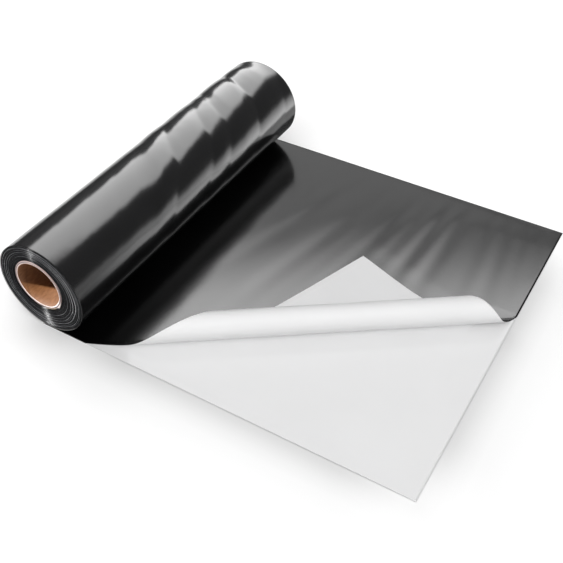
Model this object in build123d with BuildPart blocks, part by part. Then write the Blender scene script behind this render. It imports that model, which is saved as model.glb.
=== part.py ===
from build123d import *
import math
import os

# Roll of self-adhesive sign film on a paper core, with its free end laid flat and one corner of the film peeled over.
# Frame, in millimetres: X is the way the web is unrolled, Y is the roll's axis, Z is up. The origin is on the
# surface that the web lies on, under the roll's axis, at the middle of the web's width.

# Web
WEB_WIDTH = 610.0  # 24 in web
WEB_END_X = 601.3  # free end of the web
LINER_T = 0.15  # release liner
ADHESIVE_T = 0.05  # adhesive coat
FILM_T = 0.10  # film
WEB_T = LINER_T + ADHESIVE_T + FILM_T

# Tucked fold under the roll, where the web doubles back on itself
TUCK_X = -14.0  # centre of the U-fold
TUCK_LEG_X = -10.0  # end of its upper leg
TUCK_Z = WEB_T + 0.15  # height of the U-fold's centre

# Roll
ROLL_R = 77.1  # outside of the last turn
ROLL_Z = WEB_T + 0.30 + ROLL_R  # height of the roll's axis
TURNS = 13  # modelled turns of the wound pack
LAYER_GAP = 0.02  # clearance between wound layers
WOUND_LINER_T = 0.80
WOUND_ADHESIVE_T = 0.20
WOUND_FILM_T = 0.65
WOUND_T = WOUND_LINER_T + WOUND_ADHESIVE_T + WOUND_FILM_T + 2 * LAYER_GAP

# Core, which sits above and behind the roll's centre because the turns have gone slack below it
BORE_R = 38.1  # 3 in core
INNER_PLY_R = 39.0
BODY_PLY_R = 42.0
CORE_R = 42.7
CORE_X = -3.1
CORE_Z = ROLL_Z + 5.9
TAPE_T = 0.12
PACK_R = 42.95  # inside of the first turn

# Peeled corner
FOLD_ANGLE = 35.3  # direction of the curl's axis from X
FOLD_N = 288.0  # distance of the peel line from the origin, square to that axis
CURL_R = 21.7  # outside of the curl
CURL_Z = LINER_T + CURL_R  # height of the curl's axis
CURL_ADHESIVE_T = 0.15
CURL_FILM_T = 0.28
CURL_END = 155.0  # where the lower stretch of the curl ends, in degrees round it
FLAP_START = 150.0  # where the flap takes over
FLAP_R = 22.2  # reference radius of the flap's stretch of the curl
FLAP_TURN = 250.0  # where the curl straightens
FLAP_REST_Z = 0.80  # reference height of the flap where it lies flat
BACK_BEND_R = 25.0  # radius of the bend that lays it flat
TIP_T = 320.0  # corner of the film, along and square to the curl's axis
TIP_N = 129.0
STEP = 12.0  # degrees between sections of the curl

os.makedirs("parts", exist_ok=True)

cos_f = math.cos(math.radians(FOLD_ANGLE))
sin_f = math.sin(math.radians(FOLD_ANGLE))
END_PLANE = Plane.XZ.offset(-WEB_WIDTH / 2)  # at the far end, extruding towards the near end


def place(t, n, z):
    """A point t along the curl's axis, n square to it and z up, in the object's frame."""
    return Vector(t * cos_f + n * sin_f, t * sin_f - n * cos_f, z)


def between(table, length):
    """The table's value at a length along the peeled film."""
    for (a, u), (b, v) in zip(table, table[1:]):
        if length <= b:
            return u + (v - u) * (length - a) / (b - a)
    return table[-1][1]


# ------------------------------------------------------------------ flat web
fold_start_x = (FOLD_N - cos_f * WEB_WIDTH / 2) / sin_f
fold_end_y = (WEB_END_X * sin_f - FOLD_N) / cos_f


def tuck_profile(low, high):
    """Side view of one layer of the web: the flat run, the U-fold and the upper leg."""
    z0, z1 = low, high
    ra, rb = TUCK_Z - low, TUCK_Z - high
    Polyline(
        (TUCK_X, z0), (WEB_END_X, z0), (WEB_END_X, z1), (TUCK_X, z1)
    )
    ThreePointArc((TUCK_X, TUCK_Z - rb), (TUCK_X - rb, TUCK_Z), (TUCK_X, TUCK_Z + rb))
    Polyline(
        (TUCK_X, TUCK_Z + rb),
        (TUCK_LEG_X, TUCK_Z + rb),
        (TUCK_LEG_X, TUCK_Z + ra),
        (TUCK_X, TUCK_Z + ra),
    )
    ThreePointArc((TUCK_X, TUCK_Z + ra), (TUCK_X - ra, TUCK_Z), (TUCK_X, TUCK_Z - ra))


with BuildPart() as web_liner:
    with BuildSketch(END_PLANE):
        with BuildLine():
            tuck_profile(0, LINER_T)
        make_face()
    extrude(amount=WEB_WIDTH)
web_liner.part.label = "web_liner"
export_step(web_liner.part, "parts/web_liner.step")

with BuildPart() as web_adhesive:
    with BuildSketch(END_PLANE):
        with BuildLine():
            tuck_profile(LINER_T, LINER_T + ADHESIVE_T)
        make_face()
    extrude(amount=WEB_WIDTH)
    with BuildSketch(Plane.XY):
        with BuildLine():
            Polyline(
                (fold_start_x, -WEB_WIDTH / 2 - 1),
                (fold_start_x, -WEB_WIDTH / 2),
                (WEB_END_X, fold_end_y),
                (WEB_END_X + 1, fold_end_y),
                (WEB_END_X + 1, -WEB_WIDTH / 2 - 1),
                close=True,
            )
        make_face()
    extrude(amount=5, both=True, mode=Mode.SUBTRACT)
web_adhesive.part.label = "web_adhesive"
export_step(web_adhesive.part, "parts/web_adhesive.step")

with BuildPart() as web_film:
    with BuildSketch(END_PLANE):
        with BuildLine():
            tuck_profile(LINER_T + ADHESIVE_T, WEB_T)
        make_face()
    extrude(amount=WEB_WIDTH)
    with BuildSketch(Plane.XY):
        with BuildLine():
            Polyline(
                (fold_start_x, -WEB_WIDTH / 2 - 1),
                (fold_start_x, -WEB_WIDTH / 2),
                (WEB_END_X, fold_end_y),
                (WEB_END_X + 1, fold_end_y),
                (WEB_END_X + 1, -WEB_WIDTH / 2 - 1),
                close=True,
            )
        make_face()
    extrude(amount=5, both=True, mode=Mode.SUBTRACT)
web_film.part.label = "web_film"
export_step(web_film.part, "parts/web_film.step")

# ------------------------------------------------------------------ curl and flap
# Length along the film from the peel line, and where its two cut edges are along the curl's axis.
NEAR_EDGE = [
    (0, (fold_start_x * cos_f - WEB_WIDTH / 2 * sin_f)),
    (8, -88),
    (16.7, -60),
    (32, -33),
    (44.4, -10.5),
    (56, 13.6),
    (65.9, 34.7),
    (73, 50),
    (85.6, 72),
    (95, 90),
]
END_EDGE = [
    (0, (WEB_END_X * cos_f + fold_end_y * sin_f)),
    (13, 516),
    (26.5, 502.8),
    (39.8, 493.7),
    (53.9, 483.2),
    (68.2, 471.2),
    (84.8, 455.4),
    (95, 446),
]

turn = math.radians(FLAP_TURN)
turn_n = FOLD_N + FLAP_R * math.sin(turn)
turn_z = CURL_Z - FLAP_R * math.cos(turn)
back = turn - math.pi
straight = (turn_z - FLAP_REST_Z - BACK_BEND_R * (1 - math.cos(back))) / math.sin(back)
bend_n = turn_n - straight * math.cos(back)
bend_z = turn_z - straight * math.sin(back)
land_n = bend_n - BACK_BEND_R * math.sin(back)
turn_length = CURL_R * turn
land_length = turn_length + straight + BACK_BEND_R * back
NEAR_SLOPE = 1.446  # the film's cut edges where the flap lies flat, along the axis for each unit square to it
END_SLOPE = 0.722
land_near = TIP_T - NEAR_SLOPE * (land_n - TIP_N)
land_end = TIP_T + END_SLOPE * (land_n - TIP_N)
NEAR_EDGE.append((land_length, land_near))
END_EDGE.append((land_length, land_end))


def curl_section(n, z, heading, length, low, high):
    """Plane and corners of the film's section where it heads at an angle, low to high along its outward side."""
    side = (math.sin(heading), -math.cos(heading))
    outward = place(0, side[0], 0) + Vector(0, 0, side[1])
    along = place(1, 0, 0)
    plane = Plane(origin=place(0, n, z), x_dir=along, z_dir=along.cross(outward))
    near, end = between(NEAR_EDGE, length), between(END_EDGE, length)
    return plane, [(near, low), (end, low), (end, high), (near, high)]


def curl_stations(first, last):
    count = math.ceil((last - first) / STEP)
    return [math.radians(first + (last - first) * i / count) for i in range(count + 1)]


with BuildPart() as curl_film:
    for angle in curl_stations(0, CURL_END):
        plane, corners = curl_section(
            FOLD_N, CURL_Z, angle, CURL_R * angle,
            CURL_R - CURL_ADHESIVE_T - CURL_FILM_T, CURL_R - CURL_ADHESIVE_T,
        )
        with BuildSketch(plane):
            with BuildLine():
                Polyline(*corners, close=True)
            make_face()
    loft(ruled=True)
curl_film.part.label = "curl_film"
export_step(curl_film.part, "parts/curl_film.step")

with BuildPart() as curl_adhesive:
    for angle in curl_stations(0, CURL_END):
        plane, corners = curl_section(
            FOLD_N, CURL_Z, angle, CURL_R * angle, CURL_R - CURL_ADHESIVE_T, CURL_R
        )
        with BuildSketch(plane):
            with BuildLine():
                Polyline(*corners, close=True)
            make_face()
    loft(ruled=True)
curl_adhesive.part.label = "curl_adhesive"
export_step(curl_adhesive.part, "parts/curl_adhesive.step")


def flap_sections(low, high):
    """Sections of one layer of the flap, from the top of the curl to where it lies flat."""
    found = []
    for angle in curl_stations(FLAP_START, FLAP_TURN):
        found.append(
            curl_section(FOLD_N, CURL_Z, angle, CURL_R * angle, FLAP_R + low, FLAP_R + high)
        )
    for i in range(6):
        angle = turn - back * i / 5
        swept = turn - angle
        n = bend_n - BACK_BEND_R * (math.sin(back) - math.sin(back - swept))
        z = bend_z - BACK_BEND_R * (math.cos(back - swept) - math.cos(back))
        found.append(
            curl_section(n, z, angle, turn_length + straight + BACK_BEND_R * swept, low, high)
        )
    return found


FILM_LOW, FILM_HIGH = -0.20, 0.08
ADHESIVE_LOW, ADHESIVE_HIGH = 0.10, 0.25

with BuildPart() as flap_film:
    for plane, corners in flap_sections(FILM_LOW, FILM_HIGH):
        with BuildSketch(plane):
            with BuildLine():
                Polyline(*corners, close=True)
            make_face()
    loft(ruled=True)
    with BuildSketch(Plane.XY.offset(FLAP_REST_Z + FILM_LOW)):
        with BuildLine():
            Polyline(
                place(land_near, land_n, 0),
                place(land_end, land_n, 0),
                place(TIP_T, TIP_N, 0),
                close=True,
            )
        make_face()
    extrude(amount=FILM_HIGH - FILM_LOW)
flap_film.part.label = "flap_film"
export_step(flap_film.part, "parts/flap_film.step")

with BuildPart() as flap_adhesive:
    for plane, corners in flap_sections(ADHESIVE_LOW, ADHESIVE_HIGH):
        with BuildSketch(plane):
            with BuildLine():
                Polyline(*corners, close=True)
            make_face()
    loft(ruled=True)
    with BuildSketch(Plane.XY.offset(FLAP_REST_Z + ADHESIVE_LOW)):
        with BuildLine():
            Polyline(
                place(land_near, land_n, 0),
                place(land_end, land_n, 0),
                place(TIP_T, TIP_N, 0),
                close=True,
            )
        make_face()
    extrude(amount=ADHESIVE_HIGH - ADHESIVE_LOW)
flap_adhesive.part.label = "flap_adhesive"
export_step(flap_adhesive.part, "parts/flap_adhesive.step")

# ------------------------------------------------------------------ core
with BuildPart() as core_inner_ply:
    with BuildSketch(END_PLANE):
        with Locations((CORE_X, CORE_Z)):
            Circle(INNER_PLY_R - LAYER_GAP)
            Circle(BORE_R, mode=Mode.SUBTRACT)
    extrude(amount=WEB_WIDTH)
core_inner_ply.part.label = "core_inner_ply"
export_step(core_inner_ply.part, "parts/core_inner_ply.step")

with BuildPart() as core_body_plies:
    with BuildSketch(END_PLANE):
        with Locations((CORE_X, CORE_Z)):
            Circle(BODY_PLY_R)
            Circle(INNER_PLY_R, mode=Mode.SUBTRACT)
    extrude(amount=WEB_WIDTH)
core_body_plies.part.label = "core_body_plies"
export_step(core_body_plies.part, "parts/core_body_plies.step")

with BuildPart() as core_outer_ply:
    with BuildSketch(END_PLANE):
        with Locations((CORE_X, CORE_Z)):
            Circle(CORE_R)
            Circle(BODY_PLY_R + LAYER_GAP, mode=Mode.SUBTRACT)
    extrude(amount=WEB_WIDTH)
core_outer_ply.part.label = "core_outer_ply"
export_step(core_outer_ply.part, "parts/core_outer_ply.step")

# ------------------------------------------------------------------ wound pack
# Each layer is a spiral of half circles whose centres lie on the line from the core's centre to the roll's, so the
# turns are closer above the core than below it.
offset_x, offset_z = -CORE_X, ROLL_Z - CORE_Z
OFFSET = math.hypot(offset_x, offset_z)
line_x, line_z = offset_x / OFFSET, offset_z / OFFSET
last_r = ROLL_R - WOUND_T
wide_pitch = (OFFSET + last_r - PACK_R) / TURNS
tight_pitch = (last_r - OFFSET - PACK_R) / (TURNS + 0.5)


def wide_side(turns):
    return PACK_R + wide_pitch * turns


def tight_side(turns):
    return -(PACK_R + tight_pitch * (turns + 0.5))


def on_line(along, across=0.0):
    """A point along the line through the two centres, and across it."""
    return (
        CORE_X + along * line_x + across * line_z,
        CORE_Z + along * line_z - across * line_x,
    )


start_angle = math.degrees(math.atan2(line_z, line_x))
last_sweep = math.radians(90 + start_angle)  # from that line to the bottom of the roll


def spiral(offset):
    """The half circles of one face of a layer, outward from the core, as start, middle and end points."""
    found = []
    for i in range(TURNS):
        a, b, c = wide_side(i) + offset, tight_side(i) - offset, wide_side(i + 1) + offset
        found.append((on_line(a), on_line((a + b) / 2, (a - b) / 2), on_line(b)))
        found.append((on_line(b), on_line((c + b) / 2, -(c - b) / 2), on_line(c)))
    centre, radius = OFFSET, last_r + offset
    ends = [
        on_line(centre + radius * math.cos(s), radius * math.sin(s))
        for s in (0, last_sweep / 2, last_sweep)
    ]
    found.append(tuple(ends))
    return found


def layer_outline(low, high):
    inner, outer = spiral(low), spiral(high)
    for start, middle, end in inner:
        ThreePointArc(start, middle, end)
    Line(inner[-1][2], outer[-1][2])
    for start, middle, end in reversed(outer):
        ThreePointArc(end, middle, start)
    Line(outer[0][0], inner[0][0])


with BuildPart() as wound_liner:
    with BuildSketch(END_PLANE):
        with BuildLine():
            layer_outline(0, WOUND_LINER_T)
        make_face()
    extrude(amount=WEB_WIDTH)
wound_liner.part.label = "wound_liner"
export_step(wound_liner.part, "parts/wound_liner.step")

with BuildPart() as wound_adhesive:
    with BuildSketch(END_PLANE):
        with BuildLine():
            layer_outline(
                WOUND_LINER_T + LAYER_GAP, WOUND_LINER_T + LAYER_GAP + WOUND_ADHESIVE_T
            )
        make_face()
    extrude(amount=WEB_WIDTH)
wound_adhesive.part.label = "wound_adhesive"
export_step(wound_adhesive.part, "parts/wound_adhesive.step")

with BuildPart() as wound_film:
    with BuildSketch(END_PLANE):
        with BuildLine():
            layer_outline(WOUND_T - WOUND_FILM_T, WOUND_T)
        make_face()
    extrude(amount=WEB_WIDTH)
wound_film.part.label = "wound_film"
export_step(wound_film.part, "parts/wound_film.step")

# Strip that holds the start of the web to the core
with BuildPart() as start_tape:
    with BuildSketch(END_PLANE):
        with BuildLine():
            # The stiff strip lies round the core in short flats, two degrees each
            angles = [math.radians(start_angle - 22 + 2 * i) for i in range(23)]
            r0, r1 = CORE_R + 0.03, CORE_R + 0.03 + TAPE_T
            inner = [(CORE_X + r0 * math.cos(a), CORE_Z + r0 * math.sin(a)) for a in angles]
            outer = [(CORE_X + r1 * math.cos(a), CORE_Z + r1 * math.sin(a)) for a in angles]
            Polyline(*inner, *reversed(outer), close=True)
        make_face()
    extrude(amount=WEB_WIDTH)
start_tape.part.label = "start_tape"
export_step(start_tape.part, "parts/start_tape.step")
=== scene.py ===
import math

import bpy
import numpy as np
from mathutils import Matrix, Vector


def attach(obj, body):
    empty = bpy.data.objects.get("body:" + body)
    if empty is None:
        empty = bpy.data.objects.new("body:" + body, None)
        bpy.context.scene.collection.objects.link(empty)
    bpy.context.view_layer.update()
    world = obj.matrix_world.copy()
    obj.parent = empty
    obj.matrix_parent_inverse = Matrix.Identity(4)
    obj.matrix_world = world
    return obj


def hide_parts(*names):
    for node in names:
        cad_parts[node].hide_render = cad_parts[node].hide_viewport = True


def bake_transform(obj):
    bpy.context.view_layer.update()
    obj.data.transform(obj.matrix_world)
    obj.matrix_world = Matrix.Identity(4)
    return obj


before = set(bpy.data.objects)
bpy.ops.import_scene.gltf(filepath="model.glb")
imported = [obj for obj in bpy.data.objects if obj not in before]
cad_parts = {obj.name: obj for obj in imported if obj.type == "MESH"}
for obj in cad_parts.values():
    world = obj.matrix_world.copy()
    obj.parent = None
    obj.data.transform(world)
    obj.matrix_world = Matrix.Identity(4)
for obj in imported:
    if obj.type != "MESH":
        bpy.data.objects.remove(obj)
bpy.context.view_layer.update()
MM = 0.001
rng = np.random.default_rng(7)

# ---------------------------------------------------------------- camera
AZ, EL, ROLL = math.radians(120.6089), math.radians(42.9053), math.radians(-0.0721)
look = Vector(
    (math.cos(EL) * math.cos(AZ), math.cos(EL) * math.sin(AZ), -math.sin(EL))
)
right = look.cross(Vector((0, 0, 1))).normalized()
up = right.cross(look)
right, up = (
    math.cos(ROLL) * right + math.sin(ROLL) * up,
    -math.sin(ROLL) * right + math.cos(ROLL) * up,
)
cam_data = bpy.data.cameras.new("camera")
cam_data.sensor_width = 36
cam_data.lens = 54.757
cam_data.clip_end = 100
cam = bpy.data.objects.new("camera", cam_data)
cam.matrix_world = Matrix(
    (
        (right.x, up.x, -look.x, 0.76084),
        (right.y, up.y, -look.y, -0.90383),
        (right.z, up.z, -look.z, 0.93159),
        (0, 0, 0, 1),
    )
)
bpy.context.scene.collection.objects.link(cam)
bpy.context.scene.camera = cam

# ---------------------------------------------------------------- sizes, in millimetres
W = 610.0
HALF = W / 2
END_X = 601.3
TUCK_X, TUCK_LEG_X, TUCK_Z = -14.0, -10.0, 0.45
ROLL_R, ROLL_Z = 77.1, 77.7
CORE_X, CORE_Z = -3.1, 83.6
BORE_R, CORE_R = 38.1, 42.7
FOLD = math.radians(35.3)
CF, SF = math.cos(FOLD), math.sin(FOLD)
FOLD_N = 288.0
CURL_R, CURL_Z = 21.7, 21.85
TIP_T, TIP_N = 320.0, 129.0
fold_start_x = (FOLD_N - CF * HALF) / SF
fold_end_y = (END_X * SF - FOLD_N) / CF


# ---------------------------------------------------------------- helpers
def mesh(name, points, faces, body, replaces=(), materials=(), face_materials=None):
    m = bpy.data.meshes.new(name)
    m.from_pydata((np.asarray(points, float) * MM).tolist(), [], faces)
    for x in materials:
        m.materials.append(x)
    if face_materials is not None:
        m.polygons.foreach_set("material_index", np.asarray(face_materials, np.int32))
    m.polygons.foreach_set("use_smooth", np.ones(len(m.polygons), bool))
    m.validate()
    m.update()
    o = bpy.data.objects.new(name, m)
    bpy.context.scene.collection.objects.link(o)
    if body:
        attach(o, body)
    if replaces:
        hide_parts(*replaces)
    return o


def grid_faces(rows, cols, start=0, flip=False):
    i = np.arange(rows - 1)[:, None] * cols + np.arange(cols - 1)[None, :] + start
    q = np.stack([i, i + 1, i + cols + 1, i + cols], -1).reshape(-1, 4)
    return q[:, ::-1] if flip else q


def grid_normals(p):
    """Unit normals of a grid of points, rows by columns."""
    a = np.gradient(p, axis=0)
    b = np.gradient(p, axis=1)
    n = np.cross(b, a)
    length = np.linalg.norm(n, axis=-1, keepdims=True)
    return n / np.maximum(length, 1e-12)


def smooth(x):
    x = np.clip(x, 0, 1)
    return x * x * (3 - 2 * x)


def noise1(x, seed, octaves=3):
    """Smooth repeatable noise of one variable, about -1 to 1."""
    r = np.random.default_rng(seed)
    out = np.zeros_like(np.asarray(x, float))
    for k in range(octaves):
        for _ in range(3):
            f, p = r.uniform(0.6, 1.5) * 2**k, r.uniform(0, 2 * math.pi)
            out += np.sin(f * x + p) / (3 * 1.6**k)
    return out


# ---------------------------------------------------------------- materials
def new_material(name):
    m = bpy.data.materials.new(name)
    m.use_nodes = True
    t = m.node_tree
    return m, t, t.nodes["Principled BSDF"]


def node(t, kind, **values):
    n = t.nodes.new(kind)
    for k, v in values.items():
        if k in n.inputs:
            n.inputs[k].default_value = v
        else:
            setattr(n, k, v)
    return n


def ramp(t, source, stops, interpolation="LINEAR"):
    r = t.nodes.new("ShaderNodeValToRGB")
    r.color_ramp.interpolation = interpolation
    e = r.color_ramp.elements
    while len(e) < len(stops):
        e.new(0.5)
    for x, (at, c) in zip(e, stops):
        x.position = at
        x.color = (c, c, c, 1) if not hasattr(c, "__len__") else (*c, 1)
    t.links.new(source, r.inputs["Fac"])
    return r.outputs["Color"]


def coords(t):
    return t.nodes.new("ShaderNodeTexCoord").outputs["Object"]


def noise(t, vector, scale, detail=3.0, rough=0.5):
    n = node(t, "ShaderNodeTexNoise")
    n.inputs["Scale"].default_value = scale
    n.inputs["Detail"].default_value = detail
    n.inputs["Roughness"].default_value = rough
    t.links.new(vector, n.inputs["Vector"])
    return n.outputs["Fac"]


def stretch(t, vector, scale, rotation=(0, 0, 0)):
    m = t.nodes.new("ShaderNodeMapping")
    m.inputs["Scale"].default_value = scale
    m.inputs["Rotation"].default_value = rotation
    t.links.new(vector, m.inputs["Vector"])
    return m.outputs["Vector"]


def bump(t, bsdf, height, distance, strength=1.0, normal=None):
    b = t.nodes.new("ShaderNodeBump")
    b.inputs["Distance"].default_value = distance
    b.inputs["Strength"].default_value = strength
    t.links.new(height, b.inputs["Height"])
    if normal is not None:
        t.links.new(normal, b.inputs["Normal"])
    if bsdf is not None:
        t.links.new(b.outputs["Normal"], bsdf.inputs["Normal"])
    return b.outputs["Normal"]


def film_material(name, rough_low, rough_high, peel):
    """Black calendered film: deep black, a fine orange peel, faint handling haze."""
    m, t, b = new_material(name)
    c = coords(t)
    b.inputs["IOR"].default_value = 1.5
    tone = ramp(t, noise(t, c, 9, 4), [(0.3, (0.0052, 0.0052, 0.0056)), (0.7, (0.0085, 0.0085, 0.009))])
    t.links.new(tone, b.inputs["Base Color"])
    haze = ramp(t, noise(t, stretch(t, c, (1.0, 0.35, 1.0)), 22, 5, 0.6), [(0.3, rough_low), (0.72, rough_high)])
    t.links.new(haze, b.inputs["Roughness"])
    fine = bump(t, None, noise(t, c, 900, 2), 0.00002, peel)
    bump(t, b, noise(t, c, 130, 2), 0.00008, peel, fine)
    return m


film_roll = film_material("film_wound", 0.15, 0.21, 0.6)
film_flat = film_material("film_flat", 0.14, 0.18, 0.25)


def adhesive_material():
    m, t, b = new_material("adhesive_back")
    c = coords(t)
    tone = ramp(t, noise(t, c, 14, 4), [(0.25, (0.685, 0.685, 0.688)), (0.75, (0.71, 0.71, 0.713))])
    t.links.new(tone, b.inputs["Base Color"])
    t.links.new(ramp(t, noise(t, c, 60, 4), [(0.3, 0.3), (0.7, 0.42)]), b.inputs["Roughness"])
    bump(t, b, noise(t, c, 420, 3), 0.00002, 0.5)
    return m


def liner_material():
    m, t, b = new_material("release_liner")
    c = coords(t)
    tone = ramp(t, noise(t, c, 10, 4), [(0.25, (0.66, 0.66, 0.663)), (0.75, (0.68, 0.68, 0.683))])
    t.links.new(tone, b.inputs["Base Color"])
    t.links.new(ramp(t, noise(t, c, 45, 4), [(0.3, 0.05), (0.7, 0.08)]), b.inputs["Roughness"])
    bump(t, b, noise(t, c, 600, 3), 0.000004, 0.3)
    return m


adhesive = adhesive_material()
liner = liner_material()


def paper_back_material():
    m, t, b = new_material("liner_paper_back")
    c = coords(t)
    t.links.new(ramp(t, noise(t, c, 30, 5), [(0.25, (0.66, 0.655, 0.64)), (0.75, (0.72, 0.715, 0.70))]), b.inputs["Base Color"])
    b.inputs["Roughness"].default_value = 0.8
    bump(t, b, noise(t, c, 900, 4), 0.00004, 0.6)
    return m


paper_back = paper_back_material()


def kraft_material(name, low, high, rough=0.75, seams=0.0):
    m, t, b = new_material(name)
    c = coords(t)
    fibres = noise(t, stretch(t, c, (1.0, 0.25, 1.0)), 420, 5, 0.65)
    tone = ramp(t, fibres, [(0.3, low), (0.7, high)])
    if seams:
        # the plies wind round the tube as a helix, so their seams do too
        s = t.nodes.new("ShaderNodeSeparateXYZ")
        t.links.new(c, s.inputs[0])

        def calc(op, a, bb=None):
            n = t.nodes.new("ShaderNodeMath")
            n.operation = op
            for i, v in enumerate((a, bb)):
                if v is None:
                    continue
                if isinstance(v, (int, float)):
                    n.inputs[i].default_value = v
                else:
                    t.links.new(v, n.inputs[i])
            return n.outputs[0]

        dx = calc("SUBTRACT", s.outputs["X"], CORE_X * MM)
        dz = calc("SUBTRACT", s.outputs["Z"], CORE_Z * MM)
        turn = calc("DIVIDE", calc("ARCTAN2", dz, dx), 2 * math.pi)
        helix = calc("FRACT", calc("ADD", calc("DIVIDE", s.outputs["Y"], 0.115), turn))
        line = ramp(t, helix, [(0.0, seams), (0.02, 0.0), (0.975, 0.0), (1.0, seams)])
        mix = t.nodes.new("ShaderNodeMixRGB")
        t.links.new(line, mix.inputs["Fac"])
        t.links.new(tone, mix.inputs[1])
        mix.inputs[2].default_value = (low[0] * 0.45, low[1] * 0.4, low[2] * 0.4, 1)
        tone = mix.outputs[0]
    t.links.new(tone, b.inputs["Base Color"])
    b.inputs["Roughness"].default_value = rough
    bump(t, b, fibres, 0.00008, 0.7)
    return m


kraft = kraft_material("core_kraft", (0.155, 0.062, 0.024), (0.262, 0.122, 0.053), 0.6, 0.3)
board = kraft_material("core_board_edge", (0.66, 0.56, 0.52), (0.90, 0.82, 0.79))
face_ply = kraft_material("core_face_ply", (0.24, 0.16, 0.14), (0.36, 0.26, 0.235))
tape_mat = kraft_material("start_tape_paper", (0.55, 0.42, 0.25), (0.66, 0.53, 0.34))


def shade_by_radius(m, stops, low, high):
    """Multiply a material's colour by a tone that varies with the distance from the core's axis."""
    t = m.node_tree
    b = t.nodes["Principled BSDF"]
    x = t.nodes.new("ShaderNodeSeparateXYZ")
    t.links.new(coords(t), x.inputs[0])
    join = t.nodes.new("ShaderNodeCombineXYZ")
    t.links.new(x.outputs["X"], join.inputs["X"])
    t.links.new(x.outputs["Z"], join.inputs["Z"])
    away = t.nodes.new("ShaderNodeVectorMath")
    away.operation = "DISTANCE"
    away.inputs[1].default_value = (CORE_X * MM, 0, CORE_Z * MM)
    t.links.new(join.outputs[0], away.inputs[0])
    r = t.nodes.new("ShaderNodeMapRange")
    r.inputs["From Min"].default_value = low * MM
    r.inputs["From Max"].default_value = high * MM
    t.links.new(away.outputs["Value"], r.inputs["Value"])
    tone = ramp(t, r.outputs["Result"], stops)
    mix = t.nodes.new("ShaderNodeMixRGB")
    mix.blend_type = "MULTIPLY"
    mix.inputs["Fac"].default_value = 1.0
    was = b.inputs["Base Color"].links[0].from_socket
    t.links.new(was, mix.inputs[1])
    t.links.new(tone, mix.inputs[2])
    t.links.new(mix.outputs[0], b.inputs["Base Color"])


shade_by_radius(board, [(0.0, (1.0, 1.0, 1.0)), (0.09, (0.95, 0.93, 0.92)), (0.15, (0.36, 0.30, 0.30)), (0.25, (0.15, 0.11, 0.115)), (0.47, (0.10, 0.07, 0.08)), (0.53, (0.72, 0.70, 0.69)), (1.0, (0.85, 0.84, 0.83))], 39.0, 45.0)


def wound_edge_material():
    """The cut edges of the wound layers: dark film with the liner's paler edge showing here and there, and a painted
    highlight on the loose turns.
    """
    m, t, b = new_material("wound_edges")
    c = coords(t)
    a = t.nodes.new("ShaderNodeAttribute")
    a.attribute_name = "tone"
    tone = ramp(t, a.outputs["Fac"], [(0.0, (0.003, 0.003, 0.0035)), (0.4, (0.010, 0.0105, 0.012)), (1.0, (0.55, 0.555, 0.57))])
    dust = ramp(t, noise(t, c, 260, 4), [(0.35, 0.75), (0.75, 1.25)])
    mix = t.nodes.new("ShaderNodeMixRGB")
    mix.blend_type = "MULTIPLY"
    mix.inputs["Fac"].default_value = 1.0
    t.links.new(tone, mix.inputs[1])
    t.links.new(dust, mix.inputs[2])
    t.links.new(mix.outputs[0], b.inputs["Base Color"])
    t.links.new(ramp(t, noise(t, c, 90, 3), [(0.3, 0.17), (0.7, 0.25)]), b.inputs["Roughness"])
    b.inputs["IOR"].default_value = 1.13
    return m


wound_edges = wound_edge_material()

# ---------------------------------------------------------------- the peeled film's path
NEAR_EDGE = [(0, fold_start_x * CF - HALF * SF), (8, -88), (16.7, -60), (32, -33), (44.4, -10.5), (56, 13.6), (65.9, 34.7), (73, 50), (85.6, 72), (95, 90)]
END_EDGE = [(0, END_X * CF + fold_end_y * SF), (13, 516), (26.5, 502.8), (39.8, 493.7), (53.9, 483.2), (68.2, 471.2), (84.8, 455.4), (95, 446)]
FLAP_Z = 1.2
BACK_R = 25.0
turn = math.radians(250)
turn_n = FOLD_N + CURL_R * math.sin(turn)
turn_z = CURL_Z - CURL_R * math.cos(turn)
back = turn - math.pi
straight = (turn_z - FLAP_Z - BACK_R * (1 - math.cos(back))) / math.sin(back)
bend_n = turn_n - straight * math.cos(back)
bend_z = turn_z - straight * math.sin(back)
land_n = bend_n - BACK_R * math.sin(back)
turn_length = CURL_R * turn
bend_length = turn_length + straight
land_length = bend_length + BACK_R * back
tip_length = land_length + land_n - TIP_N
NEAR_EDGE += [(land_length, TIP_T - 1.446 * (land_n - TIP_N)), (tip_length, TIP_T)]
END_EDGE += [(land_length, TIP_T + 0.722 * (land_n - TIP_N)), (tip_length, TIP_T)]


def pchip(table, x):
    """Monotone cubic through a table."""
    xs, ys = np.array(table, float).T
    h = np.diff(xs)
    d = np.diff(ys) / h
    m = np.zeros(len(xs))
    m[0], m[-1] = d[0], d[-1]
    for i in range(1, len(xs) - 1):
        if d[i - 1] * d[i] > 0:
            w1, w2 = 2 * h[i] + h[i - 1], h[i] + 2 * h[i - 1]
            m[i] = (w1 + w2) / (w1 / d[i - 1] + w2 / d[i])
    i = np.clip(np.searchsorted(xs, x) - 1, 0, len(xs) - 2)
    s = (x - xs[i]) / h[i]
    return (
        (1 + 2 * s) * (1 - s) ** 2 * ys[i]
        + s * (1 - s) ** 2 * h[i] * m[i]
        + s * s * (3 - 2 * s) * ys[i + 1]
        + s * s * (s - 1) * h[i] * m[i + 1]
    )


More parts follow.
